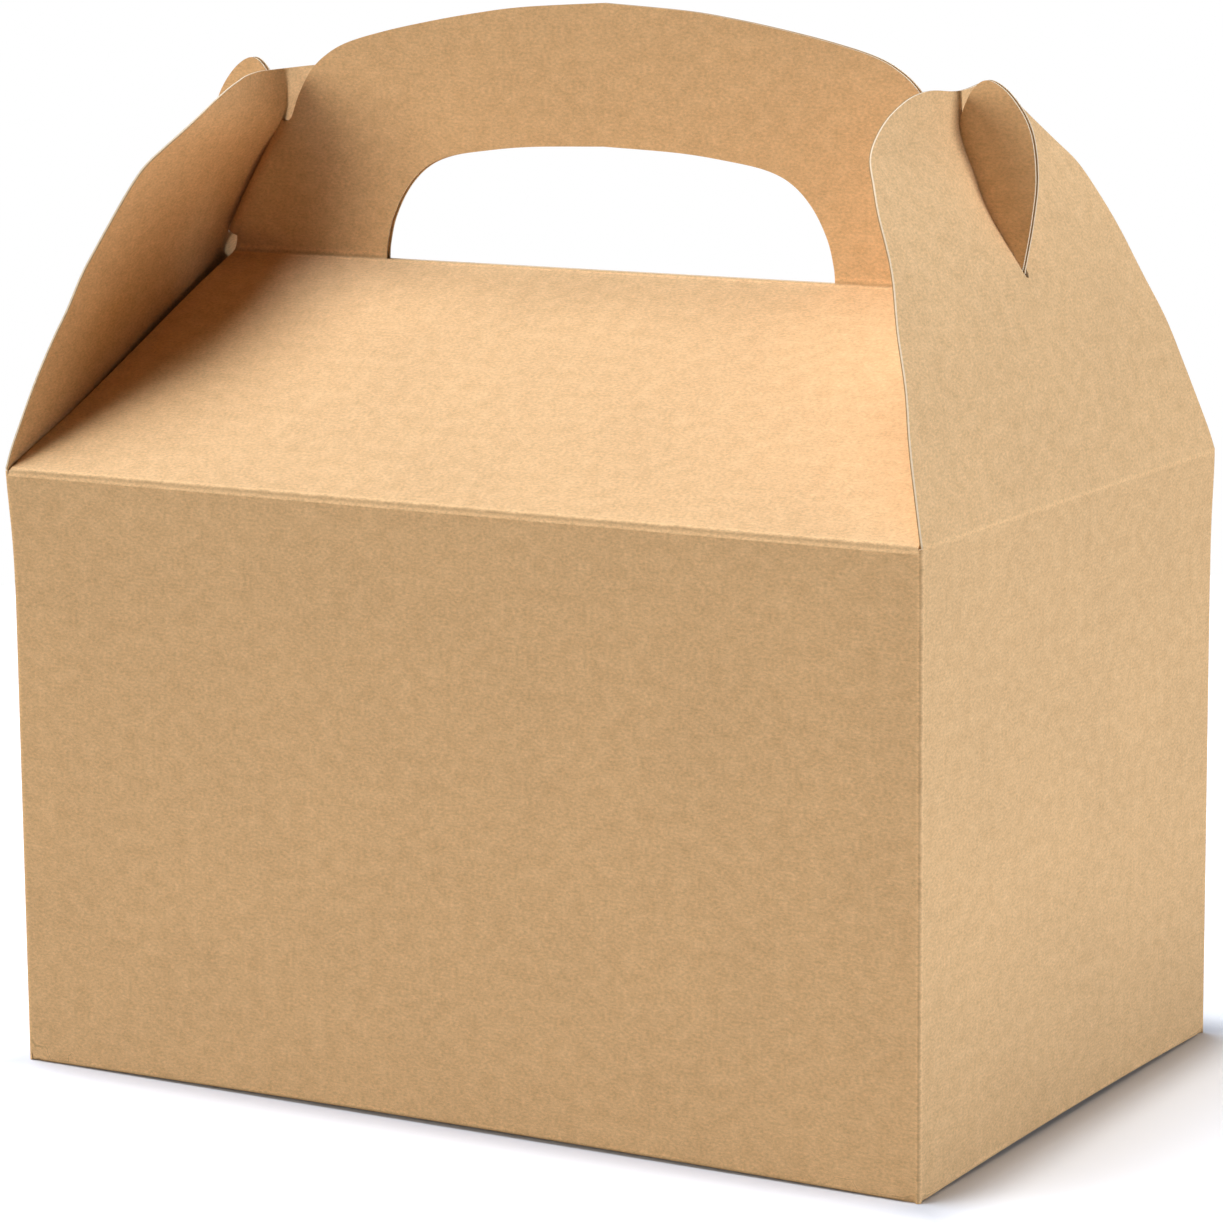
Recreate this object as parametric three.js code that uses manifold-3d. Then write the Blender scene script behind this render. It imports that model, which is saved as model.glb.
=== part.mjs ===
// Gable box: a folded kraft board carton with a gable roof, a two-ply carry handle with a finger
// hole, and two end flaps whose slits hook over the ears of the handle.
// Millimetres, +Z up. The origin is at the middle of the base. +X is the box's right end, and the
// front, which faces -Y, is one of the two long walls.
import * as THREE from 'three';
import { mergeVertices } from 'three/addons/utils/BufferGeometryUtils.js';
import Module from 'manifold-3d';

const wasm = await Module();
wasm.setup();

// Driving sizes of the erected box
const width = 158; // along X, outside the end walls
const depth = 103.5; // along Y, outside the long walls
const wallHeight = 95; // floor to the eave creases
const roofRise = 29.7; // eave crease to ridge crease
const handleHeight = 41.5; // ridge crease to the top of the handle
const board = 0.45; // thickness of the kraft board
const foldRadius = 0.9; // outside radius of the four upright folds
const foldLap = 3; // height over which the folded roof strip runs down the long wall

// Clearances between board faces
const plyGap = 0.3; // between the two plies of the handle
const seatGap = 0.3; // between an end flap and what it rests on
const layerGap = 0.25; // between the layers of the folded bottom

// End flaps: how far the outer face stands in from the end wall, by height
const flapMidInset = 3.3; // halfway up the roof
const flapRidgeInset = 7.1; // at the ridge crease
const lockMidInset = 14.7; // near the middle of the slit
const lockMidRise = 15.3; // ridge crease to that place
const slitTopInset = 18.9; // at the top of the slit
const tipInset = 19.5; // at the flap's top edge
const slitBottomRise = 2.5; // ridge crease to the bottom of the slit
const slitTopRise = 23.1; // ridge crease to the top of the slit
const flapTopRise = 30.6; // ridge crease to the flap's top edge
const flapCornerInset = 0.5; // flap's lower corners, in from the long walls
const flapWaistInset = 5.8; // flap's sides at the waist, in from the long walls
const flapWaistHeight = 17.8; // above the eave crease
const flapShoulderInset = 11.8; // where the flap's straight sides end, in from the long walls
const flapShoulderRise = 5.3; // above the ridge crease
const flapTopHalfWidth = 9; // flat part of the flap's rounded top edge
// The flap's round shoulder, as [in from the long wall, down from the flap's top edge]
const flapShoulder = [[15.3, 17.3], [22.2, 9.3], [32.6, 2.8]];
const tipCut = 0.3; // gap between a flap and the tip that bends over the ear

// Handle and ear outlines, as seen from the front
const notchInset = 19.8; // middle of the notch between handle and ear, in from the end walls
const notchHalfWidth = 1.5;
const notchRise = 21.4; // ridge crease to the bottom of the notch
const notchDepth = 1.4; // of its round bottom
// The handle's top edge, as [in from the end wall, down from the top of the handle]
const handleEdge = [[22.4, 15.9], [24.9, 11.8], [28.2, 9], [32.2, 7.1], [47.8, 3.4], [64.6, 0.9]];
// The ear, from the slit up over its head to the notch, as [in from the end wall, up from the ridge]
const earEdge = [[7.5, 3.6], [6.2, 10.5], [5.5, 17.5], [6.5, 24.3], [9.6, 29.2], [13.2, 31.5],
  [15.8, 30.1], [17.7, 26.2]];

// Finger hole: flat bottom on the ridge crease, arched top
const fingerHoleHalfWidth = 40.3;
const fingerHoleHeight = 19.3;
const fingerHoleLift = 0.1; // above the ridge crease
// Its arch, as [in from the end of the hole, down from the top of the hole]
const fingerHoleEdge = [[0.2, 16.9], [1.3, 12.7], [3.8, 8.1], [7.3, 4.6], [11.8, 2.6], [18.8, 1.4],
  [27.3, 0.5]];

// Glue seam on the inside of the back wall
const seamWidth = 15;
const seamEndCut = 4;

// Snap-lock bottom
const bottomSideClear = 1.6; // from a bottom flap's side edge to the next wall
const backFlapPastMiddle = 14.25; // its free edge, past the middle of the box
const backFlapShoulder = 38; // in from the back wall
const backFlapHalfWidth = 52; // at its free edge
const lockNotchHalfWidth = 22; // notch in the back flap that takes the tongue
const lockNotchDepth = 12;
const lockNotchFlare = 4; // wider by this at the notch's mouth
const frontFlapPastMiddle = 2.25; // its free edge, past the middle of the box
const frontFlapShoulder = 22; // in from the front wall
const frontFlapHalfWidth = 44; // at its free edge
const tongueHalfWidth = 19; // the front flap's tongue, which locks over the back flap
const tongueReach = 18; // past the front flap's free edge
const tongueRamp = 12; // length over which the tongue climbs inside
const bottomEndReach = 40; // the bottom's end flaps, in from an end wall
const bottomEndHalfWidth = 20; // at their free edges

const curveSteps = 8;
const halfWidth = width / 2;
const halfDepth = depth / 2;
const ridge = wallHeight + roofRise;
const handleTop = ridge + handleHeight;
const plyOutside = plyGap / 2 + board;

const at = (x, y) => new THREE.Vector2(x, y);
const kraft = (color) => new THREE.MeshStandardMaterial({ color, roughness: 0.85, metalness: 0 });

// A closed three.js geometry as a solid that can be joined and cut
function solidOf(geometry) {
  geometry.deleteAttribute('normal');
  geometry.deleteAttribute('uv');
  const merged = mergeVertices(geometry, 1e-5);
  return new wasm.Manifold(new wasm.Mesh({
    numProp: 3,
    vertProperties: new Float32Array(merged.attributes.position.array),
    triVerts: new Uint32Array(merged.index.array),
  }));
}

function meshOf(name, solid, material) {
  const { vertProperties, triVerts } = solid.getMesh();
  const geometry = new THREE.BufferGeometry();
  geometry.setAttribute('position', new THREE.BufferAttribute(vertProperties, 3));
  geometry.setIndex(new THREE.BufferAttribute(triVerts, 1));
  geometry.computeVertexNormals();
  const mesh = new THREE.Mesh(geometry, material);
  mesh.name = name;
  return mesh;
}

function extruded(shape, length) {
  const settings = { depth: length, bevelEnabled: false, curveSegments: curveSteps };
  return new THREE.ExtrudeGeometry(shape, settings);
}

// A shape drawn in (x, z), extruded along Y over the span
function alongY(shape, from, to) {
  const turn = new THREE.Matrix4().makeBasis(
    new THREE.Vector3(1, 0, 0), new THREE.Vector3(0, 0, 1), new THREE.Vector3(0, -1, 0));
  return extruded(shape, to - from).applyMatrix4(turn).translate(0, to, 0);
}

// A shape drawn in (y, z), extruded along X over the span
function alongX(shape, from, to) {
  const turn = new THREE.Matrix4().makeBasis(
    new THREE.Vector3(0, 1, 0), new THREE.Vector3(0, 0, 1), new THREE.Vector3(1, 0, 0));
  return extruded(shape, to - from).applyMatrix4(turn).translate(from, 0, 0);
}

// A shape drawn in (x, y), extruded along Z over the span
function alongZ(shape, from, to) {
  return extruded(shape, to - from).translate(0, 0, from);
}

// The section of a folded sheet: the path is one face, and the sheet lies to the right of it
function sheetSection(path, thickness) {
  const directions = path.slice(1).map((point, i) => point.clone().sub(path[i]).normalize());
  const other = path.map((point, i) => {
    const before = directions[Math.max(i - 1, 0)];
    const after = directions[Math.min(i, directions.length - 1)];
    const rightBefore = at(before.y, -before.x);
    const rightAfter = at(after.y, -after.x);
    const mitre = rightBefore.clone().add(rightAfter).normalize();
    return point.clone().addScaledVector(mitre, thickness / mitre.dot(rightAfter));
  });
  return new THREE.Shape([...path, ...other.reverse()]);
}

// A half outline, drawn from its low outer end towards the middle line, closed by its mirror image
function mirrored(half) {
  const other = half.filter((point) => point.x > 0).map((point) => at(-point.x, point.y));
  return new THREE.Shape([...half, ...other.reverse()]);
}

const smooth = (points, steps) => new THREE.SplineCurve(points).getPoints(steps);

// Outer face of the right end flap in (x, z), from its crease to its top edge
const flapFace = new THREE.SplineCurve([
  at(halfWidth, wallHeight),
  at(halfWidth - flapMidInset, wallHeight + roofRise / 2),
  at(halfWidth - flapRidgeInset, ridge),
  at(halfWidth - lockMidInset, ridge + lockMidRise),
  at(halfWidth - slitTopInset, ridge + slitTopRise),
  at(halfWidth - tipInset, ridge + flapTopRise),
]).getPoints(5 * curveSteps);

// The flap face's x at a height
function flapFaceAt(z) {
  const next = flapFace.findIndex((point) => point.y >= z);
  const above = flapFace[Math.max(next, 1)];
  const below = flapFace[Math.max(next, 1) - 1];
  return THREE.MathUtils.mapLinear(z, below.y, above.y, below.x, above.x);
}

// Roof and handle edge behind the end flap, which rests on it
const seatAt = (z) => at(flapFaceAt(z) - board - seatGap, z);

// Outline of a roof panel with its handle ply and ears, seen from the front
function panelOutline() {
  const notchTop = ridge + notchRise + notchDepth;
  const ear = smooth([
    ...earEdge.map(([inset, rise]) => at(halfWidth - inset, ridge + rise)),
    at(halfWidth - notchInset + notchHalfWidth, notchTop),
  ], 4 * curveSteps);
  const handle = smooth([
    at(halfWidth - notchInset - notchHalfWidth, notchTop),
    ...handleEdge.map(([inset, drop]) => at(halfWidth - inset, handleTop - drop)),
    at(0, handleTop),
  ], 3 * curveSteps);
  const notch = [1, -1].map((side) => (
    at(halfWidth - notchInset + side * notchHalfWidth / 3, ridge + notchRise)));
  const roofEnd = [0, 0.25, 0.5, 0.75, 1].map((part) => seatAt(wallHeight + part * roofRise));
  const crossing = seatAt(ridge + slitBottomRise + seatGap);
  return mirrored([
    at(halfWidth - foldRadius, wallHeight - foldLap),
    at(halfWidth - foldRadius, wallHeight),
    ...roofEnd,
    crossing,
    ...ear,
    ...notch,
    ...handle,
  ]);
}

function fingerHole() {
  const low = ridge + fingerHoleLift;
  const top = low + fingerHoleHeight;
  const arch = smooth([
    at(fingerHoleHalfWidth, low),
    ...fingerHoleEdge.map(([inset, drop]) => at(fingerHoleHalfWidth - inset, top - drop)),
    at(0, top),
  ], 3 * curveSteps);
  return mirrored(arch);
}

// The long wall's top strip folded over the eave and up into a handle ply, cut to its outline
function roofAndPly(turned) {
  const section = sheetSection([
    at(-halfDepth, wallHeight - foldLap),
    at(-halfDepth, wallHeight),
    at(-plyOutside, ridge),
    at(-plyOutside, handleTop + 1),
  ], board);
  const folded = alongX(section, -halfWidth, halfWidth).rotateZ(turned);
  const outline = alongY(panelOutline(), -halfDepth - 1, halfDepth + 1);
  return solidOf(folded).intersect(solidOf(outline));
}

// A rectangle with rounded corners, centred on the origin
function roundedRectangle(halfX, halfY, radius) {
  const shape = new THREE.Shape();
  shape.moveTo(halfX, radius - halfY);
  shape.lineTo(halfX, halfY - radius);
  shape.absarc(halfX - radius, halfY - radius, radius, 0, Math.PI / 2);
  shape.lineTo(radius - halfX, halfY);
  shape.absarc(radius - halfX, halfY - radius, radius, Math.PI / 2, Math.PI);
  shape.lineTo(-halfX, radius - halfY);
  shape.absarc(radius - halfX, radius - halfY, radius, Math.PI, Math.PI * 1.5);
  shape.lineTo(halfX - radius, -halfY);
  shape.absarc(halfX - radius, radius - halfY, radius, Math.PI * 1.5, Math.PI * 2);
  return shape;
}

// The four walls as a sleeve folded round the box
function sleeve() {
  const outer = roundedRectangle(halfWidth, halfDepth, foldRadius);
  outer.holes.push(roundedRectangle(halfWidth - board, halfDepth - board, foldRadius - board));
  return solidOf(alongZ(outer, 0, wallHeight));
}

// The glue seam: a lap of the left wall glued to the inside of the back wall
function glueSeam() {
  const left = -halfWidth + board;
  const low = 4 * (board + layerGap);
  const lap = new THREE.Shape([
    at(left - board / 2, low),
    at(left + seamWidth, low + seamEndCut),
    at(left + seamWidth, wallHeight - 1 - seamEndCut),
    at(left - board / 2, wallHeight - 1),
  ]);
  return solidOf(alongY(lap, halfDepth - 2 * board, halfDepth - board / 2));
}

// One flat layer of the bottom, counted from the outermost one
function bottomLayer(outline, layer) {
  const low = layer * (board + layerGap);
  return solidOf(alongZ(new THREE.Shape(outline), low, low + board));
}

// The four bottom flaps, folded in and locked by the front flap's tongue
function snapLockBottom() {
  const sideX = halfWidth - bottomSideClear;
  const wallY = halfDepth - board / 2;
  const backEdge = -backFlapPastMiddle;
  const backFlap = bottomLayer([
    at(sideX, wallY),
    at(-sideX, wallY),
    at(-sideX, halfDepth - backFlapShoulder),
    at(-backFlapHalfWidth, backEdge),
    at(-lockNotchHalfWidth - lockNotchFlare, backEdge),
    at(-lockNotchHalfWidth, backEdge + lockNotchDepth),
    at(lockNotchHalfWidth, backEdge + lockNotchDepth),
    at(lockNotchHalfWidth + lockNotchFlare, backEdge),
    at(backFlapHalfWidth, backEdge),
    at(sideX, halfDepth - backFlapShoulder),
  ], 2);
  const frontEdge = frontFlapPastMiddle;
  const frontFlap = bottomLayer([
    at(-sideX, -wallY),
    at(sideX, -wallY),
    at(sideX, frontFlapShoulder - halfDepth),
    at(frontFlapHalfWidth, frontEdge - tongueRamp),
    at(-frontFlapHalfWidth, frontEdge - tongueRamp),
    at(-sideX, frontFlapShoulder - halfDepth),
  ], 0);
  const rampLow = frontEdge - tongueRamp;
  const tongueZ = 3 * (board + layerGap);
  const tongueSection = sheetSection([
    at(rampLow - foldLap, board),
    at(rampLow, board),
    at(frontEdge, tongueZ + board),
    at(frontEdge + tongueReach, tongueZ + board),
  ], board);
  const tongue = solidOf(alongX(tongueSection, -tongueHalfWidth, tongueHalfWidth));
  const endFlaps = [1, -1].map((side) => bottomLayer([
    at(side * (halfWidth - board / 2), side * (bottomSideClear - halfDepth)),
    at(side * (halfWidth - board / 2), side * (halfDepth - bottomSideClear)),
    at(side * (halfWidth - bottomEndReach), side * bottomEndHalfWidth),
    at(side * (halfWidth - bottomEndReach), -side * bottomEndHalfWidth),
  ], 1));
  return backFlap.add(frontFlap).add(tongue).add(endFlaps[0]).add(endFlaps[1]);
}

function carton() {
  const hole = solidOf(alongY(fingerHole(), -halfDepth, halfDepth));
  const roof = roofAndPly(0).add(roofAndPly(Math.PI)).subtract(hole);
  return sleeve().add(glueSeam()).add(snapLockBottom()).add(roof);
}

// An end flap's outline in (y, z), half of it
function flapOutline() {
  const top = ridge + flapTopRise;
  const rounded = smooth([
    at(halfDepth - flapShoulderInset, ridge + flapShoulderRise),
    ...flapShoulder.map(([inset, drop]) => at(halfDepth - inset, top - drop)),
    at(flapTopHalfWidth, top),
  ], 3 * curveSteps);
  return mirrored([
    at(halfDepth - flapCornerInset, wallHeight + seatGap),
    at(halfDepth - flapWaistInset, wallHeight + flapWaistHeight),
    ...rounded,
  ]);
}

// A bowed end flap with its slit, in two bodies: the flap, and the tip that bends over the ear
function endFlap(turned) {
  const section = sheetSection([...flapFace].reverse(), board);
  const bowed = solidOf(alongY(section, -halfDepth, halfDepth).rotateZ(turned));
  const cut = solidOf(alongX(flapOutline(), -halfWidth - 1, halfWidth + 1));
  const whole = bowed.intersect(cut);
  const slitHalf = plyOutside + seatGap;
  const slitBottom = ridge + slitBottomRise;
  const slitTop = ridge + slitTopRise;
  const band = (low, high, halfY) => solidOf(alongX(new THREE.Shape([
    at(-halfY, low), at(halfY, low), at(halfY, high), at(-halfY, high),
  ]), -halfWidth - 2, halfWidth + 2));
  const above = band(slitTop, handleTop, halfDepth);
  const tipRegion = band(slitTop + tipCut, handleTop, halfDepth);
  const slit = band(slitBottom, handleTop, slitHalf);
  return { flap: whole.subtract(above).subtract(slit), tip: whole.intersect(tipRegion) };
}

const box = new THREE.Group();
box.name = 'gable_box';
const outside = kraft(0xc8a073);
const flapBoard = kraft(0xd6ae80);
box.add(meshOf('carton', carton(), outside));
for (const [side, turned] of [['right', 0], ['left', Math.PI]]) {
  const { flap, tip } = endFlap(turned);
  box.add(meshOf(`${side}_end_flap`, flap, flapBoard));
  box.add(meshOf(`${side}_flap_tip`, tip, flapBoard));
}

export default box;
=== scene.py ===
"""A gable box folded from kraft board, closed, on a white studio floor."""
import math

import bmesh
import bpy
import numpy as np
from mathutils import Matrix, Vector, noise
from mathutils.geometry import delaunay_2d_cdt


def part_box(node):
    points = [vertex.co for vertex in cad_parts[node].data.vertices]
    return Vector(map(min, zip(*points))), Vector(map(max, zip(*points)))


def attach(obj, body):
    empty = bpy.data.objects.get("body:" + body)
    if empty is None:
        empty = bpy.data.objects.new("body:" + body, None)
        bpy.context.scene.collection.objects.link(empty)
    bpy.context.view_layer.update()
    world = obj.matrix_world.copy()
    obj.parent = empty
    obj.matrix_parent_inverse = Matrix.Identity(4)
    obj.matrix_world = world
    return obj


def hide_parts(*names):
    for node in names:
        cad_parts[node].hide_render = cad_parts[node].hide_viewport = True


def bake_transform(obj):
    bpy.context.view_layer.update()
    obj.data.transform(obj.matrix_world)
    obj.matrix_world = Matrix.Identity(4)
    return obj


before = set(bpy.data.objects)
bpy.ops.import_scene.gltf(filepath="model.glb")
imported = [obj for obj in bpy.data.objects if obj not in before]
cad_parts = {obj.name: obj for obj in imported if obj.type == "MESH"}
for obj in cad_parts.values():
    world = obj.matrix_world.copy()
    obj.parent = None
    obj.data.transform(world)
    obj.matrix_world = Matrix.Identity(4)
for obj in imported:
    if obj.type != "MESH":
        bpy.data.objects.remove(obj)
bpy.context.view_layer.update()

# The board: plain kraft board about 0.45 mm thick, brown all through. Every piece below is cut flat
# from it, folded or bowed into place, and then given its thickness. Sizes here are in millimetres.
MM = 0.001
BOARD = 0.45
GRID = 2.6
low_corner, high_corner = [Vector(corner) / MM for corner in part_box("carton")]
HALF_WIDTH = high_corner.x
HALF_DEPTH = high_corner.y
HANDLE_TOP = high_corner.z
HANDLE_HEIGHT = 41.5
ROOF_RISE = 29.7
RIDGE = HANDLE_TOP - HANDLE_HEIGHT
EAVE = RIDGE - ROOF_RISE
PLY_GAP = 0.3
PLY_OUTSIDE = PLY_GAP / 2 + BOARD


def spline(points, steps):
    """A smooth curve through the points, as an array of steps + 1 points."""
    points = np.array(points, float)
    last = len(points) - 1
    curve = []
    for step in range(steps + 1):
        along = last * step / steps
        first = min(int(along), last - 1)
        t = along - first
        before, start, end, after = (points[min(max(first + i, 0), last)] for i in (-1, 0, 1, 2))
        slope_in, slope_out = (end - before) / 2, (after - start) / 2
        curve.append(
            start + slope_in * t
            + (3 * (end - start) - 2 * slope_in - slope_out) * t**2
            + (2 * (start - end) + slope_in + slope_out) * t**3
        )
    return np.array(curve)


def smoothstep(low, high, value):
    t = np.clip((value - low) / (high - low), 0, 1)
    return t * t * (3 - 2 * t)


def hump(distance, width):
    return np.exp(-((distance / width) ** 2))


def resampled_open(points, spacing):
    """A line with extra points wherever two lie further apart than the spacing."""
    result = []
    for here, there in zip(points[:-1], points[1:]):
        count = max(1, math.ceil(np.linalg.norm(there - here) / spacing))
        result += [here + (there - here) * i / count for i in range(count)]
    return np.array([*result, points[-1]])


def resampled(loop, spacing):
    """The same for a closed outline."""
    return resampled_open(np.concatenate([loop, loop[:1]]), spacing)[:-1]


def mirrored(half):
    """A closed outline from its right half, drawn upward from the low outer end."""
    half = np.array(half, float)
    other = half[half[:, 0] > 1e-9] * (-1, 1)
    return np.concatenate([half, other[::-1]])


def is_inside(points, loops):
    inside = np.zeros(len(points), bool)
    for loop in loops:
        for (x0, y0), (x1, y1) in zip(loop, np.roll(loop, -1, axis=0)):
            if y0 == y1:
                continue
            crosses = (points[:, 1] >= min(y0, y1)) & (points[:, 1] < max(y0, y1))
            x = x0 + (points[:, 1] - y0) * (x1 - x0) / (y1 - y0)
            inside ^= crosses & (points[:, 0] < x)
    return inside


def edge_distance(points, loops):
    nearest = np.full(len(points), np.inf)
    for loop in loops:
        for here, there in zip(loop, np.roll(loop, -1, axis=0)):
            along = there - here
            t = np.clip((points - here) @ along / (along @ along), 0, 1)
            nearest = np.minimum(nearest, np.linalg.norm(points - here - t[:, None] * along, axis=1))
    return nearest


def cut_flat(loops, rows=(), extra=()):
    """Points and triangles of a flat sheet inside the first loop and outside the others.

    rows are the heights of extra lines of points, packed close where a crease runs, and extra are
    the points that a small form needs."""
    row_step, column_step = GRID * 0.87, GRID * 0.7
    row_clearance, edge_clearance, extra_clearance = GRID * 0.4, GRID * 0.3, 0.3
    low, high = loops[0].min(0), loops[0].max(0)
    inner = []
    for number, height in enumerate(np.arange(low[1] + GRID / 2, high[1], row_step)):
        shift = GRID / 2 * (number % 2)
        inner += [(x, height) for x in np.arange(low[0] + shift, high[0], GRID)]
    inner = np.array(inner)
    if len(rows):
        clear = np.abs(inner[:, 1:] - np.array(rows)[None, :]).min(1) > row_clearance
        columns = np.arange(low[0], high[0], column_step)
        inner = np.concatenate([inner[clear], [(x, row) for row in rows for x in columns]])
    inner = inner[is_inside(inner, loops)]
    inner = inner[edge_distance(inner, loops) > edge_clearance]
    if len(extra):
        extra = np.array(extra)
        extra = extra[is_inside(extra, loops)]
        extra = extra[edge_distance(extra, loops) > extra_clearance]
        inner = np.concatenate([inner, extra])
    edges, start = [], 0
    for loop in loops:
        count = len(loop)
        edges += [(start + i, start + (i + 1) % count) for i in range(count)]
        start += count
    points = [Vector(point) for point in np.concatenate([*loops, inner])]
    flat, _, triangles, *_ = delaunay_2d_cdt(points, edges, [], 0, 1e-5)
    flat = np.array([tuple(point) for point in flat])
    triangles = np.array([tri for tri in triangles if len(tri) == 3])
    middles = flat[triangles].mean(1)
    return flat, triangles[is_inside(middles, loops)]


LEFT_CORNER_PUSH, LEFT_CORNER_REACH, LEFT_CORNER_UP = 1.05, 11, 2
RIGHT_CORNER_PUSH, RIGHT_CORNER_REACH = 0.5, 9
PUSH_SIDEWAYS, PUSH_FORWARD = 0.95, 0.3
BASE_ARCH, ARCH_FADE = 0.55, 14


def dented(place):
    """The place moved by the push that two corners of the eave have had, and by the bowed-up base."""
    x, y, z = place
    left = (x + HALF_WIDTH) ** 2 + (y + HALF_DEPTH) ** 2 + (z - EAVE - LEFT_CORNER_UP) ** 2
    right = (x - HALF_WIDTH) ** 2 + (y - HALF_DEPTH) ** 2 + (z - EAVE) ** 2
    left_push = LEFT_CORNER_PUSH * math.exp(-left / LEFT_CORNER_REACH**2)
    right_push = RIGHT_CORNER_PUSH * math.exp(-right / RIGHT_CORNER_REACH**2)
    arch = BASE_ARCH * (1 - (x / HALF_WIDTH) ** 2 * (y / HALF_DEPTH) ** 2)
    arch *= 1 - float(smoothstep(0, ARCH_FADE, z))
    moved_x = x - PUSH_SIDEWAYS * left_push + PUSH_SIDEWAYS * right_push
    return (moved_x, y - PUSH_FORWARD * left_push, z + max(arch, 0))


class Sheet:
    """The outer face of a piece of board, gathered from its panels and welded where they meet."""

    WELD = 0.01
    SHARP_FROM = math.radians(38)

    def __init__(self):
        self.places, self.blanks, self.folds, self.faces = [], [], [], []

    def add(self, places, blank, fold, faces):
        start = sum(len(part) for part in self.places)
        self.places.append(np.asarray(places, float))
        self.blanks.append(np.asarray(blank, float))
        self.folds.append(np.asarray(fold, float))
        self.faces += [[start + i for i in face] for face in faces]

    def board(self, name):
        """The sheet as an object of the board's thickness, with its cut edges."""
        bm = bmesh.new()
        blank_layer = bm.verts.layers.float_vector.new("blank")
        fold_layer = bm.verts.layers.float.new("fold")
        depth_layer = bm.verts.layers.float.new("depth")
        for place, flat, fold in zip(*map(np.concatenate, (self.places, self.blanks, self.folds))):
            vert = bm.verts.new(Vector(dented(place)) * MM)
            vert[blank_layer] = (*flat, 0)
            vert[fold_layer] = fold
        bm.verts.ensure_lookup_table()
        for face in self.faces:
            bm.faces.new([bm.verts[i] for i in face])
        bmesh.ops.remove_doubles(bm, verts=bm.verts, dist=self.WELD * MM)
        bm.normal_update()
        outside = list(bm.faces)
        rims = [(edge.link_loops[0].vert, edge.link_loops[0].link_loop_next.vert)
                for edge in bm.edges if edge.is_boundary]
        inner = {}
        for vert in list(bm.verts):
            copy = bm.verts.new(vert.co - vert.normal * BOARD * MM)
            copy[blank_layer], copy[fold_layer], copy[depth_layer] = vert[blank_layer], vert[fold_layer], 1
            inner[vert] = copy
        for face in outside:
            bm.faces.new([inner[vert] for vert in reversed(face.verts)])
        for here, there in rims:
            bm.faces.new([there, here, inner[here], inner[there]]).material_index = 1
        for face in bm.faces:
            face.smooth = True
        mesh = bpy.data.meshes.new(name)
        bm.to_mesh(mesh)
        bm.free()
        mesh.materials.append(kraft_board)
        mesh.materials.append(cut_edge)
        mesh.set_sharp_from_angle(angle=self.SHARP_FROM)
        thing = bpy.data.objects.new(name, mesh)
        bpy.context.collection.objects.link(thing)
        return thing


# Kraft finish: uncoated board with a mottled, fibrous face, paler where a crease stretches it, with painted
# shade along each crease's valley, and pale cut edges darkened toward the board's inner face as painted
# shade.
# The colour is worked out from the flat blank, so it runs on round every fold.
FACE_COLOR = (0.83, 0.525, 0.255)
EDGE_COLOR = (0.93, 0.75, 0.52)
EDGE_SHADE = (0.42, 0.25, 0.11)


class Node:
    """A shader socket that can be used in sums."""

    tree = None

    def __init__(self, socket):
        self.socket = socket

    @classmethod
    def make(cls, kind, settings=None, values=None, out=0):
        node = cls.tree.nodes.new(kind)
        for key, value in (settings or {}).items():
            setattr(node, key, value)
        for key, value in (values or {}).items():
            if isinstance(value, Node):
                cls.tree.links.new(value.socket, node.inputs[key])
            else:
                node.inputs[key].default_value = value
        return cls(node.outputs[out])

    def math(self, operation, other=0.0, flip=False):
        first, second = (other, self) if flip else (self, other)
        return Node.make("ShaderNodeMath", {"operation": operation}, {0: first, 1: second})

    def __add__(self, other):
        return self.math("ADD", other)

    __radd__ = __add__

    def __mul__(self, other):
        return self.math("MULTIPLY", other)

    __rmul__ = __mul__

    def __sub__(self, other):
        return self.math("SUBTRACT", other)

    def __rsub__(self, other):
        return self.math("SUBTRACT", other, flip=True)

    def __truediv__(self, other):
        return self.math("DIVIDE", other)

    def __abs__(self):
        return self.math("ABSOLUTE")

    def hump(self, width):
        """1 where this is 0, falling off over the width."""
        scaled = self / width
        return Node.make("ShaderNodeMath", {"operation": "EXPONENT"}, {0: scaled * scaled * -1.0})

    def scaled(self, factors):
        settings = {"operation": "MULTIPLY"}
        return Node.make("ShaderNodeVectorMath", settings, {0: self, 1: factors})

    def between(self, low, high):
        """0 below low, 1 above high and smooth between."""
        settings = {"interpolation_type": "SMOOTHSTEP"}
        return Node.make("ShaderNodeMapRange", settings, {"Value": self, "From Min": low, "From Max": high})


def noise_of(place, scale, detail=2.0, roughness=0.5):
    values = {"Vector": place, "Scale": scale, "Detail": detail, "Roughness": roughness}
    return Node.make("ShaderNodeTexNoise", None, values)


def mixed(factor, first, second, blend="MIX"):
    settings = {"data_type": "RGBA", "blend_type": blend}
    return Node.make("ShaderNodeMix", settings, {0: factor, 6: first, 7: second}, out=2)


CLOUDS, MOTTLE, FIBRES = 0.14, 0.36, 0.80
DARK_SPECKS, PALE_SPECKS = 0.26, 0.16
CREASE_STRETCH, CREASE_SHADE = 0.14, 0.18
SHOULDER_AT, SHOULDER_WIDTH, VALLEY_WIDTH = 0.62, 0.26, 0.28
WARM_TINT, COOL_TINT = (1.02, 0.985, 0.95), (0.985, 1.015, 1.06)
BUMP_DEPTH = 0.00006


def tinted(tint):
    return (*(channel * share for channel, share in zip(FACE_COLOR, tint)), 1)


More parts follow.
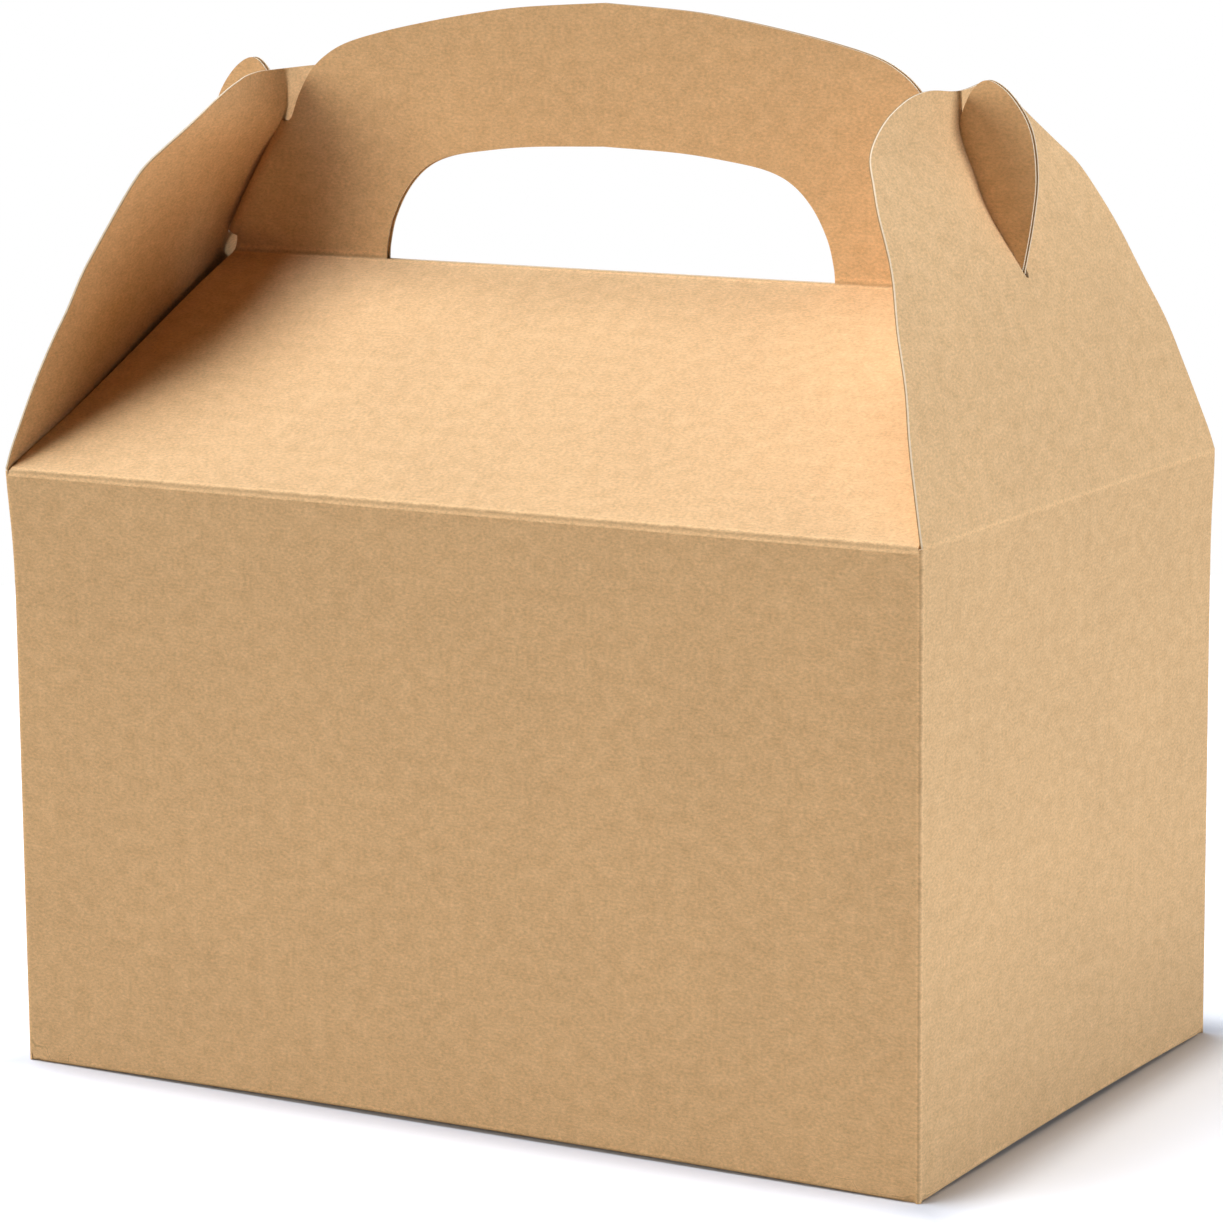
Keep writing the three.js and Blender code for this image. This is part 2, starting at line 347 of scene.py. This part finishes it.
def board_material(name, edge):
    material = bpy.data.materials.new(name)
    material.use_nodes = True
    Node.tree = material.node_tree
    shader = material.node_tree.nodes["Principled BSDF"]
    blank = Node.make("ShaderNodeAttribute", {"attribute_name": "blank"}, out=1)
    clouds = noise_of(blank, 0.055, 4.0, 0.55)
    mottle = noise_of(blank.scaled((0.8, 1.0, 1.0)), 0.45, 4.0, 0.6)
    fibres = noise_of(blank.scaled((0.75, 1.25, 1.0)), 2.1, 3.0, 0.7)
    if edge:
        depth = Node.make("ShaderNodeAttribute", {"attribute_name": "depth"}, out=2)
        tone = 1.0 + 0.3 * (fibres - 0.5)
        # Painted shade: the cut edge darkens from its pale outer side toward the board's inner face.
        painted_inner_shade = (depth + 0.3 * (mottle - 0.5)).between(0.45, 0.75)
        color = mixed(1.0, mixed(painted_inner_shade, (*EDGE_COLOR, 1), (*EDGE_SHADE, 1)), tone, "MULTIPLY")
        height = fibres
    else:
        specks = noise_of(blank.scaled((1.0, 1.2, 1.0)), 4.2, 2.0, 0.65)
        tone = 1.0 + CLOUDS * (clouds - 0.5) + MOTTLE * (mottle - 0.5) + FIBRES * (fibres - 0.5)
        tone = tone - DARK_SPECKS * specks.between(0.62, 0.74) + PALE_SPECKS * specks.between(0.38, 0.26)
        fold = Node.make("ShaderNodeAttribute", {"attribute_name": "fold"}, out=2)
        distance = abs(fold + 0.5 * (mottle - 0.5))
        shoulders = (distance - SHOULDER_AT).hump(SHOULDER_WIDTH)
        # Painted shade darkens the valley along each crease.
        valley = distance.hump(VALLEY_WIDTH)
        tone = tone + CREASE_STRETCH * shoulders * fibres.between(0.2, 0.6) - CREASE_SHADE * valley
        color = mixed(1.0, mixed(mottle, tinted(WARM_TINT), tinted(COOL_TINT)), tone, "MULTIPLY")
        height = 0.6 * fibres + 0.5 * mottle + 0.25 * specks
    bump = Node.make("ShaderNodeBump", None, {"Strength": 0.5, "Distance": BUMP_DEPTH, "Height": height})
    Node.tree.links.new(color.socket, shader.inputs["Base Color"])
    Node.tree.links.new((0.80 + 0.16 * (fibres - 0.5)).socket, shader.inputs["Roughness"])
    Node.tree.links.new(bump.socket, shader.inputs["Normal"])
    shader.inputs["Specular IOR Level"].default_value = 0.12
    return material


kraft_board = board_material("kraft_board", edge=False)
cut_edge = board_material("kraft_cut_edge", edge=True)

# End flap shape: each flap leans in from its crease on the end wall, rests on the ends of the roof
# panels, and is drawn in further at its slit, where the two plies of the handle come out through it.
FLAP_TOP = RIDGE + 30.6
FLAP_PROFILE = spline([
    (HALF_WIDTH, EAVE),
    (HALF_WIDTH - 3.3, EAVE + ROOF_RISE / 2),
    (HALF_WIDTH - 7.1, RIDGE),
    (HALF_WIDTH - 14.7, RIDGE + 15.3),
    (HALF_WIDTH - 18.9, RIDGE + 23.1),
    (HALF_WIDTH - 19.5, FLAP_TOP),
], 60)
SLIT_LOW = RIDGE + 2.5
SLIT_HIGH = RIDGE + 21.9
SLIT_CLEARANCE = 0.12
SEAT_GAP = 0.3
CREASE_LOW = EAVE - 0.9


def flap_face(z):
    """How far out the flap's outer face would stand at a height, were both ends alike."""
    return np.interp(z, FLAP_PROFILE[:, 1], FLAP_PROFILE[:, 0])


LEFT_PUSH, SLIT_PUSH, TOP_RETURN = 1.3, 0.9, 0.9
LIP_CURL = 1.5


def flap_push(side, z):
    """How much further out the middle of this box's left flap stands than that of the right one."""
    push = LEFT_PUSH * smoothstep(EAVE + 5, EAVE + 23, z) + SLIT_PUSH * smoothstep(EAVE + 23, EAVE + 32, z)
    return (side < 0) * (push - TOP_RETURN * smoothstep(EAVE + 35, EAVE + 53, z))


def curl(side, z):
    """How far the lips of the right flap's slit are drawn in."""
    fading = 1 - smoothstep(RIDGE + 13, RIDGE + 23, z)
    return (side > 0) * LIP_CURL * smoothstep(RIDGE + 1, RIDGE + 12, z) * fading


# Walls: one long strip folded round four upright creases into a sleeve and glued along the back left
# corner. Its long walls go on into the roof, and its end walls into the end flaps.
FOLD_RADIUS = 0.6
BASE_RADIUS = 0.5
WALL_LOW = 1.6
BELLY, RIPPLE = 0.2, 0.12
CORNER_FACETS = 6
FOLD_FAR = 9


def wall_sizes(side):
    """Half a wall's length, and how far out from the box's middle it stands."""
    return (HALF_WIDTH, HALF_DEPTH) if side % 2 == 0 else (HALF_DEPTH, HALF_WIDTH)


def wall_place(side, along, z):
    """A point on one of the four walls: front, right, back and left, counted from 0.

    The walls belly out a little and ripple, and lie flat again toward the folds."""
    angle = side * math.pi / 2
    turn = np.array([[math.cos(angle), -math.sin(angle)], [math.sin(angle), math.cos(angle)]])
    half, out = wall_sizes(side)
    flat = turn @ np.array([along, -out])
    belly = BELLY * (1 - (along / half) ** 2) * math.sin(math.pi * z / EAVE)
    clear = smoothstep(0, 12, half - abs(along)) * smoothstep(2, 12, z) * smoothstep(0, 10, CREASE_LOW - z)
    ripple = RIPPLE * noise.noise(Vector((flat[0] / 31, flat[1] / 31, z / 37)))
    flat = flat + turn @ np.array([0, -1]) * (belly + ripple) * clear
    return (*flat, z)


def wall_samples(side):
    flat = wall_sizes(side)[0] - FOLD_RADIUS
    return np.linspace(-flat, flat, 2 * round(flat / GRID) + 1)


def blank_start(side):
    """Where a wall's middle lies along the flat blank."""
    return (0, HALF_WIDTH + HALF_DEPTH, 2 * (HALF_WIDTH + HALF_DEPTH), -HALF_WIDTH - HALF_DEPTH)[side]


# The folded corners run the full height of these rows. The flat walls stop at full_rows, where the
# bottom flaps and the roof panels take over.
carton_sheet = Sheet()
heights = np.concatenate([
    [0.04, 0.3, 0.8, WALL_LOW],
    np.linspace(WALL_LOW, CREASE_LOW, 36)[1:],
    [EAVE - 0.6, EAVE - 0.1],
])
full_rows = (3, len(heights) - 3)
places, blanks, folds, flat_strip = [], [], [], []
for side in range(4):
    half, out = wall_sizes(side)
    samples = wall_samples(side)
    for along in samples:
        places.append([wall_place(side, along, z) for z in heights])
        blanks.append([(blank_start(side) + along, z) for z in heights])
        folds.append([half - abs(along) + 0.1 for z in heights])
        flat_strip.append(along < samples[-1])
    angle = side * math.pi / 2
    centre = np.array([math.cos(angle) * (half - FOLD_RADIUS), math.sin(angle) * (half - FOLD_RADIUS)])
    centre = centre + np.array([math.sin(angle), -math.cos(angle)]) * (out - FOLD_RADIUS)
    for step in range(1, CORNER_FACETS):
        bend = angle - math.pi / 2 + math.pi / 2 * step / CORNER_FACETS
        radius = FOLD_RADIUS + 0.05 * math.sin(math.pi * step / CORNER_FACETS)
        point = centre + radius * np.array([math.cos(bend), math.sin(bend)])
        arc = FOLD_RADIUS * math.pi / 2 * (step / CORNER_FACETS)
        places.append([(*point, z) for z in heights])
        blanks.append([(blank_start(side) + half - FOLD_RADIUS + arc, z) for z in heights])
        folds.append([0.12 + abs(step - 2) * 0.2] * len(heights))
        flat_strip.append(False)
columns, rows = len(places), len(heights)
faces = []
for column in range(columns):
    following = (column + 1) % columns
    for row in range(rows - 1):
        if not flat_strip[column] or full_rows[0] <= row < full_rows[1]:
            a, b = column * rows + row, following * rows + row
            faces.append((a, b, b + 1, a + 1))
carton_sheet.add(np.reshape(places, (-1, 3)), np.reshape(blanks, (-1, 2)), np.ravel(folds), faces)

# Roof and handle: above each long wall the board folds in at the eave crease to a roof panel, and up
# again at the ridge crease to one ply of the handle, with half of the finger hole, and an ear at each
# end behind a notch. The two plies stand face to face and bow apart a little near the end flaps.
ROOF_RUN = HALF_DEPTH - PLY_OUTSIDE
ROOF_LENGTH = math.hypot(ROOF_RUN, ROOF_RISE)
ROOF_ANGLE = math.atan2(ROOF_RUN, ROOF_RISE)
EAVE_RADIUS = 0.75
RIDGE_RADIUS = 0.3
EAR_EDGE = [(7.5, 3.6), (6.2, 10.5), (5.5, 17.5), (6.5, 24.3), (9.6, 29.2), (13.2, 31.5), (15.8, 30.1),
            (17.7, 26.2), (18.3, 22.8)]
HANDLE_EDGE = [(22.4, 15.9), (24.9, 11.8), (28.2, 9), (32.4, 7), (39.5, 5.1), (47.8, 3.4), (56, 2),
               (64.6, 0.9)]
HANDLE_SHIFT = -1.4
SWELL, SWELL_AT = 2.0, 3.4
CREASE_RAISED, CREASE_SUNK, PANEL_SAG = 0.05, 0.10, 0.35
NOTCH_INSET, NOTCH_RISE, NOTCH_HALF_WIDTH, NOTCH_DEPTH = 19.8, 21.4, 1.5, 1.4
HOLE_HALF_WIDTH, HOLE_HEIGHT = 40.3, 19.3
HOLE_EDGE = [(0.2, 16.9), (1.3, 12.7), (3.8, 8.1), (7.3, 4.6), (11.8, 2.6), (18.8, 1.4), (27.3, 0.5)]


def climb(z):
    """How far up the sheet a height lies, from the eave crease."""
    return np.where(z <= EAVE, z - EAVE,
                    np.where(z < RIDGE, (z - EAVE) / ROOF_RISE * ROOF_LENGTH, z - RIDGE + ROOF_LENGTH))


def section(s):
    """The folded sheet's section: distance in from the wall, height, and the outward normal."""
    slope = np.array([math.sin(ROOF_ANGLE), math.cos(ROOF_ANGLE)])
    up = np.array([0.0, 1.0])
    angle = np.zeros_like(s)
    place = np.zeros((len(s), 2))
    eave_reach = EAVE_RADIUS * math.tan(ROOF_ANGLE / 2)
    ridge_reach = RIDGE_RADIUS * math.tan(ROOF_ANGLE / 2)
    eave_at, ridge_at = np.array([0, EAVE]), np.array([ROOF_RUN, RIDGE])
    for i, value in enumerate(s):
        if value < -eave_reach:
            place[i] = eave_at + up * value
        elif value < eave_reach:
            angle[i] = ROOF_ANGLE * (value + eave_reach) / (2 * eave_reach)
            centre = eave_at - up * eave_reach + np.array([EAVE_RADIUS, 0])
            place[i] = centre + EAVE_RADIUS * np.array([-math.cos(angle[i]), math.sin(angle[i])])
        elif value < ROOF_LENGTH - ridge_reach:
            angle[i] = ROOF_ANGLE
            place[i] = eave_at + slope * value
        elif value < ROOF_LENGTH + ridge_reach:
            turned = ROOF_ANGLE * (value - ROOF_LENGTH + ridge_reach) / (2 * ridge_reach)
            angle[i] = ROOF_ANGLE - turned
            centre = ridge_at + up * ridge_reach - np.array([RIDGE_RADIUS, 0])
            place[i] = centre + RIDGE_RADIUS * np.array([math.cos(angle[i]), -math.sin(angle[i])])
        else:
            place[i] = ridge_at + up * (value - ROOF_LENGTH)
    normal = np.c_[-np.cos(angle), np.sin(angle)]
    return place, normal


def roof_outline(samples, shift):
    """The outline of a roof panel with its handle ply, in (x, distance up the sheet)."""
    ear = [(HALF_WIDTH - inset, RIDGE + rise) for inset, rise in EAR_EDGE]
    notch_top = RIDGE + NOTCH_RISE + NOTCH_DEPTH
    notch = [
        (HALF_WIDTH - NOTCH_INSET + side * NOTCH_HALF_WIDTH * math.cos(turn),
         notch_top - NOTCH_DEPTH * math.sin(turn))
        for side, turn in ((1, 0.5), (1, 1.0), (1, 1.57), (-1, 1.0), (-1, 0.5))
    ]
    handle = [(HALF_WIDTH - NOTCH_INSET - NOTCH_HALF_WIDTH, notch_top)]
    handle += [(HALF_WIDTH - inset, HANDLE_TOP - drop) for inset, drop in HANDLE_EDGE] + [(0, HANDLE_TOP)]
    roof_end = [(flap_face(z) - BOARD - SEAT_GAP, z) for z in np.linspace(EAVE, RIDGE + 2.6, 24)]
    half = np.array([*roof_end, *spline(ear, 64), *notch, *spline(handle, 72)])
    half[:, 1] = climb(half[:, 1])
    whole = mirrored(half)
    whole[:, 0] += shift * (whole[:, 1] > ROOF_LENGTH + 3)
    base = [(x, CREASE_LOW - EAVE) for x in samples]
    return np.concatenate([base, whole])


def hole_outline(shift):
    half = spline([(HOLE_HALF_WIDTH, 0.1)] + [
        (HOLE_HALF_WIDTH - inset, 0.1 + HOLE_HEIGHT - drop) for inset, drop in HOLE_EDGE
    ] + [(0, 0.1 + HOLE_HEIGHT)], 60)
    return mirrored(half) + (shift, ROOF_LENGTH)


def bulge(end, inward, z):
    """How far a ply bows out just before it passes through the slit."""
    height = SWELL * smoothstep(RIDGE + 1, RIDGE + 5, z) * (1 - smoothstep(RIDGE + 12, RIDGE + 24, z))
    width = SWELL_AT - 0.08 * (z - RIDGE)
    along = np.clip(inward - curl(end, z) - BOARD - 0.15, 0, None) / width
    return height * along * np.exp(1 - along)


def add_roof(side):
    direction = -1 if side == 0 else 1
    samples = wall_samples(side)
    loop = roof_outline(samples, -direction * HANDLE_SHIFT)
    base = loop[:len(samples)]
    rest = resampled_open(loop[len(samples):], 1.3)
    loops = [np.concatenate([base, rest]), resampled(hole_outline(-direction * HANDLE_SHIFT), 1.3)]
    eave_rows = [-0.45, -0.3, -0.15, 0, 0.15, 0.3, 0.45, 0.7, 1.1, 1.6]
    ridge_rows = [-1.6, -1.0, -0.6, -0.3, -0.15, 0, 0.15, 0.3, 0.6, 1.0, 1.6]
    rows = eave_rows + [ROOF_LENGTH + step for step in ridge_rows]
    bulge_points = [
        (-direction * end * (flap_face(z) + flap_push(end, z) - inward), climb(z))
        for end in (-1, 1)
        for z in np.arange(RIDGE + 1.9, RIDGE + 22, 1.1)
        for inward in np.arange(0.4, 12, 0.5)
    ]
    flat, triangles = cut_flat(loops, rows, extra=bulge_points)
    place, normal = section(flat[:, 1])
    x, s = flat[:, 0], flat[:, 1]
    crease = hump(np.abs(s) - SHOULDER_AT, 0.25) * CREASE_RAISED - hump(s, 0.28) * CREASE_SUNK
    rise = s - ROOF_LENGTH
    z = RIDGE + rise
    end = np.sign(-direction * x)
    inward = flap_face(z) + flap_push(end, z) - np.abs(x)
    sag = PANEL_SAG * np.sin(np.pi * np.clip(s / ROOF_LENGTH, 0, 1)) * (1 - (x / HALF_WIDTH) ** 2)
    lift = crease + bulge(end, inward, z) * (rise > 0) + sag * (rise < 0)
    place = place + normal * lift[:, None]
    points = np.c_[-direction * x, direction * (HALF_DEPTH - place[:, 0]), place[:, 1]]
    fold = np.where(np.abs(s) < np.abs(rise), s, rise - 0.25)
    blank = np.c_[blank_start(side) + x, EAVE + s]
    carton_sheet.add(points, blank, np.clip(fold, -FOLD_FAR, FOLD_FAR), triangles.tolist())


add_roof(0)
add_roof(2)

# Snap-lock bottom: four flaps below the walls, folded in one over the other. The front flap's tongue
# climbs through the notch in the back flap and lies on top of it, which locks the bottom.
LAYER_GAP = 0.25
BOTTOM_CLEAR = 1.6
TONGUE_HALF_WIDTH, TONGUE_REACH, TONGUE_RAMP = 19, 18, 12
FRONT_EDGE, BACK_EDGE = 2.25, -14.25


def add_bottom_flap(side, outline, layer, climb_from=None):
    """A bottom flap, drawn as (along the wall, in from the wall)."""
    out = wall_sizes(side)[1]
    level = layer * (BOARD + LAYER_GAP)
    start = WALL_LOW - BASE_RADIUS
    arc = BASE_RADIUS * math.pi / 2
    samples = wall_samples(side)[::-1]
    outline = np.array(outline, float)
    base = [(along, 0) for along in samples]
    edge = samples[0]
    corner = [(-edge, start + arc * 0.6), (outline[0][0], start + arc)]
    other = [(-outline[0][0], start + arc), (edge, start + arc * 0.6)]
    loop = np.concatenate([base, corner, resampled_open(outline + (0, start), 2.5), other])
    flat, triangles = cut_flat([loop], [start + arc * part for part in (0, 0.25, 0.5, 0.75, 1.0, 2.2, 3.4)])
    points = []
    for along, down in flat:
        if down < start:
            inward, z = 0, WALL_LOW - down
        elif down < start + arc:
            bend = (down - start) / BASE_RADIUS
            inward, z = BASE_RADIUS * (1 - math.cos(bend)), BASE_RADIUS * (1 - math.sin(bend))
        else:
            inward, z = BASE_RADIUS + down - start - arc, 0
        z += level * smoothstep(0.3, 2.4, inward)
        if climb_from is not None and abs(along) <= TONGUE_HALF_WIDTH + 0.01:
            z += 3 * (BOARD + LAYER_GAP) * smoothstep(climb_from, climb_from + TONGUE_RAMP, inward)
        angle = side * math.pi / 2
        local = (along, inward - out)
        points.append((math.cos(angle) * local[0] - math.sin(angle) * local[1],
                       math.sin(angle) * local[0] + math.cos(angle) * local[1], z))
    blank = np.c_[blank_start(side) + flat[:, 0], WALL_LOW - flat[:, 1]]
    fold = np.clip(flat[:, 1] - start - arc / 2, -FOLD_FAR, FOLD_FAR)
    carton_sheet.add(points, blank, fold, triangles[:, ::-1].tolist())


side_edge = HALF_WIDTH - BOTTOM_CLEAR
front_in = HALF_DEPTH + FRONT_EDGE
ramp_start = front_in - TONGUE_RAMP
add_bottom_flap(0, [
    (-side_edge, 2), (-side_edge, 22), (-44, ramp_start), (-TONGUE_HALF_WIDTH - 1, ramp_start),
    (-TONGUE_HALF_WIDTH, ramp_start + 0.6), (-TONGUE_HALF_WIDTH, front_in + TONGUE_REACH - 5),
    (-TONGUE_HALF_WIDTH + 5, front_in + TONGUE_REACH), (TONGUE_HALF_WIDTH - 5, front_in + TONGUE_REACH),
    (TONGUE_HALF_WIDTH, front_in + TONGUE_REACH - 5), (TONGUE_HALF_WIDTH, ramp_start + 0.6),
    (TONGUE_HALF_WIDTH + 1, ramp_start), (44, ramp_start), (side_edge, 22), (side_edge, 2),
], 0, climb_from=ramp_start)
back_in = HALF_DEPTH - BACK_EDGE
add_bottom_flap(2, [
    (-side_edge, 2), (-side_edge, 38), (-52, back_in), (-26, back_in), (-22, back_in - 12),
    (22, back_in - 12), (26, back_in), (52, back_in), (side_edge, 38), (side_edge, 2),
], 2)
end_edge = HALF_DEPTH - BOTTOM_CLEAR
for side in (1, 3):
    add_bottom_flap(side, [(-end_edge, 2), (-20, 40), (20, 40), (end_edge, 2)], 1)

carton = carton_sheet.board("carton_sheet")
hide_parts("carton")
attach(carton, "carton")

# End flaps: one at each end, cut with a slit that hooks over the ear. The board bends at the crease
# on top of the end wall, so each flap starts a little below it and takes in that bend.
FLAP_EDGE = [(51.5, 0.3), (50.7, 4.5), (48.5, 13), (45.6, 21), (42.3, 29), (38.6, 37), (35.2, 45), (32, 49),
             (28.2, 52.7), (21.5, 56.8), (14.5, 59.5), (9, 60.4), (4, 60.5), (0, 60.5)]
RIGHT_LEAN, RIGHT_WAIST, LEFT_WAIST = 0.55, 1.1, 2.2
RIGHT_TOP_DIP, LEFT_TOP_DROP = 1.0, 0.9
LEFT_SLIT_RISE = 0.55
TOP_TWIST, TOP_TWIST_REACH = 1.6, 15
half_flap = np.array([
    (HALF_DEPTH - FOLD_RADIUS, CREASE_LOW),
    *spline([(y, EAVE + rise) for y, rise in FLAP_EDGE], 96),
])


def slit_outline(low):
    half = [(0, low), (0.35, low + 0.1)]
    half += [(PLY_OUTSIDE + SLIT_CLEARANCE, z) for z in np.linspace(low + 0.8, SLIT_HIGH - 0.4, 18)]
    half += [(0.5, SLIT_HIGH - 0.1), (0, SLIT_HIGH)]
    return mirrored(half)


for name, side in (("right", 1), ("left", -1)):
    slit = slit_outline(SLIT_LOW + LEFT_SLIT_RISE * (side < 0))
    loops = [resampled(mirrored(half_flap), 1.3), resampled(slit, 1.0)]
    lips = [(way * (PLY_OUTSIDE + 0.5 + reach), z) for way in (-1, 1)
            for reach in (0, 0.7, 1.5, 2.4, 3.4, 4.6) for z in np.arange(SLIT_LOW, SLIT_HIGH + 3, 1.2)]
    rows = [EAVE + step for step in (-0.45, -0.3, -0.15, 0, 0.15, 0.3, 0.45, 0.8, 1.3)]
    flat, triangles = cut_flat(loops, rows, extra=lips)
    p, z = flat[:, 0], flat[:, 1]
    width = np.interp(z, EAVE + np.array(FLAP_EDGE)[:, 1], np.array(FLAP_EDGE)[:, 0])
    toward_edge = np.clip(np.abs(p) / np.maximum(width, 20), 0, 1) ** 2
    lip = np.clip(np.abs(p) - PLY_OUTSIDE, 0, None)
    rounded = smoothstep(RIDGE + 9, RIDGE + 19, z)
    drawn_in = curl(side, z) * ((1 - rounded) * np.exp(-lip / 4.5) + rounded * hump(lip, 6.5)
                                - 0.35 * hump(lip - 13, 8))
    if side > 0:
        lean = RIGHT_LEAN * smoothstep(EAVE, EAVE + 17, z) + RIGHT_WAIST * hump(z - EAVE - 29, 7)
    else:
        lean = LEFT_WAIST * hump(z - EAVE - 30, 13)
    top = smoothstep(EAVE + 46, EAVE + 58, z)
    shoulder = top * np.clip(np.abs(p) / TOP_TWIST_REACH, 0, 1) ** 2
    sunk = RIGHT_TOP_DIP * hump(p, 8) if side > 0 else LEFT_TOP_DROP
    crease = CREASE_RAISED * hump(z - EAVE, 0.35)
    out = np.where(z < EAVE, HALF_WIDTH, flap_face(z)) + flap_push(side, z)
    out = out - drawn_in - lean * toward_edge + crease
    flap_sheet = Sheet()
    blank = np.c_[blank_start(1 if side > 0 else 3) + p, z]
    fold = SHOULDER_AT + 0.8 * np.abs(z - EAVE)
    places = np.c_[side * out, side * p - side * TOP_TWIST * shoulder, z - sunk * top]
    flap_sheet.add(places, blank, np.clip(fold, 0, FOLD_FAR), triangles.tolist())
    flap = flap_sheet.board(f"{name}_flap_sheet")
    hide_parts(f"{name}_end_flap", f"{name}_flap_tip")
    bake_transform(flap)

# Studio: a white floor and a white surround, lit softly from above left, from the right and from the
# front left. The floor sends little light back up and glows white to the camera away from the box; the glow
# fades out within 12 mm of the footprint, which paints a darker band round the base on top of its real
# shadow.
floor_mesh = bpy.data.meshes.new("floor")
FLOOR_RADIUS = 0.45
FLOOR_POINTS = 96
FLOOR_SEEN, FLOOR_BOUNCE = (0.88, 0.88, 0.88, 1), (0.27, 0.255, 0.235, 1)
FLOOR_GLOW, NO_GLOW = (0.42, 0.42, 0.42, 1), (0, 0, 0, 1)
PAINTED_SHADOW_REACH = 12 * MM
turns = [number * 2 * math.pi / FLOOR_POINTS for number in range(FLOOR_POINTS)]
rim = [(FLOOR_RADIUS * math.cos(turn), FLOOR_RADIUS * math.sin(turn), 0) for turn in turns]
floor_mesh.from_pydata(rim, [], [list(range(FLOOR_POINTS))])
floor = bpy.data.objects.new("floor", floor_mesh)
bpy.context.collection.objects.link(floor)
floor_material = bpy.data.materials.new("white_floor")
floor_material.use_nodes = True
floor_shader = floor_material.node_tree.nodes["Principled BSDF"]
Node.tree = floor_material.node_tree
IS_CAMERA_RAY = 0
seen = Node.make("ShaderNodeLightPath", out=IS_CAMERA_RAY)
floor_color = mixed(seen, FLOOR_BOUNCE, FLOOR_SEEN)
place = Node.make("ShaderNodeNewGeometry")
past_end = abs(Node.make("ShaderNodeSeparateXYZ", None, {0: place}, out=0)) - HALF_WIDTH * MM
past_side = abs(Node.make("ShaderNodeSeparateXYZ", None, {0: place}, out=1)) - HALF_DEPTH * MM
# Painted shadow: the floor's white glow fades out within 12 mm of the box's footprint, leaving a darker
# band round its base.
outside_painted_shadow = past_end.math("MAXIMUM", past_side).between(0.0, PAINTED_SHADOW_REACH)
floor_glow = mixed(seen * outside_painted_shadow, NO_GLOW, FLOOR_GLOW)
Node.tree.links.new(floor_color.socket, floor_shader.inputs["Base Color"])
Node.tree.links.new(floor_glow.socket, floor_shader.inputs["Emission Color"])
floor_shader.inputs["Emission Strength"].default_value = 1
floor_shader.inputs["Roughness"].default_value = 0.9
floor_shader.inputs["Specular IOR Level"].default_value = 0.0
floor_mesh.materials.append(floor_material)

world = bpy.data.worlds.new("studio")
bpy.context.scene.world = world
world.use_nodes = True
Node.tree = world.node_tree
for node in list(world.node_tree.nodes):
    world.node_tree.nodes.remove(node)
seen = Node.make("ShaderNodeLightPath", out=IS_CAMERA_RAY)
ambient = Node.make("ShaderNodeBackground", None, {"Color": (1, 0.98, 0.96, 1), "Strength": 0.02})
white = Node.make("ShaderNodeBackground", None, {"Color": (1, 1, 1, 1), "Strength": 1.0})
shown = Node.make("ShaderNodeMixShader", None, {0: seen, 1: ambient, 2: white})
world_out = world.node_tree.nodes.new("ShaderNodeOutputWorld")
world.node_tree.links.new(shown.socket, world_out.inputs["Surface"])


def soft_sun(name, toward, strength, spread_angle, color):
    light = bpy.data.lights.new(name, "SUN")
    light.energy = strength
    light.angle = math.radians(spread_angle)
    light.color = color
    lamp = bpy.data.objects.new(name, light)
    bpy.context.collection.objects.link(lamp)
    lamp.rotation_euler = Vector(toward).to_track_quat("-Z", "Y").to_euler()


soft_sun("top_light", (0.28, 0.04, -1), 2.8, 38, (0.91, 1.0, 1.18))
soft_sun("right_light", (-1, -0.14, -0.08), 2.5, 22, (0.93, 1.0, 1.12))
soft_sun("front_fill", (0.74, 1, -0.28), 1.85, 38, (1.0, 0.98, 0.96))

# Camera: a long lens a little above the box, turned to show its front and right end.
CAMERA_AT = (363.6, -629.7, 205.9)
YAW, PITCH, ROLL = (math.radians(angle) for angle in (30.072, 10.519, -0.467))
FOCAL_PIXELS, FRAME_PIXELS, SENSOR = 4688.2, 1223, 36
camera = bpy.data.objects.new("camera", bpy.data.cameras.new("camera"))
bpy.context.collection.objects.link(camera)
camera.data.sensor_width = SENSOR
camera.data.lens = SENSOR * FOCAL_PIXELS / FRAME_PIXELS
camera.data.clip_start = 0.01
ahead = Vector((-math.sin(YAW) * math.cos(PITCH), math.cos(YAW) * math.cos(PITCH), -math.sin(PITCH)))
level_right = Vector((math.cos(YAW), math.sin(YAW), 0))
level_up = level_right.cross(ahead)
right = math.cos(ROLL) * level_right + math.sin(ROLL) * level_up
up = math.cos(ROLL) * level_up - math.sin(ROLL) * level_right
turn = Matrix((right, up, -ahead)).transposed()
camera.matrix_world = Matrix.Translation(Vector(CAMERA_AT) * MM) @ turn.to_4x4()
bpy.context.scene.camera = camera
bpy.context.scene.view_settings.view_transform = "Standard"
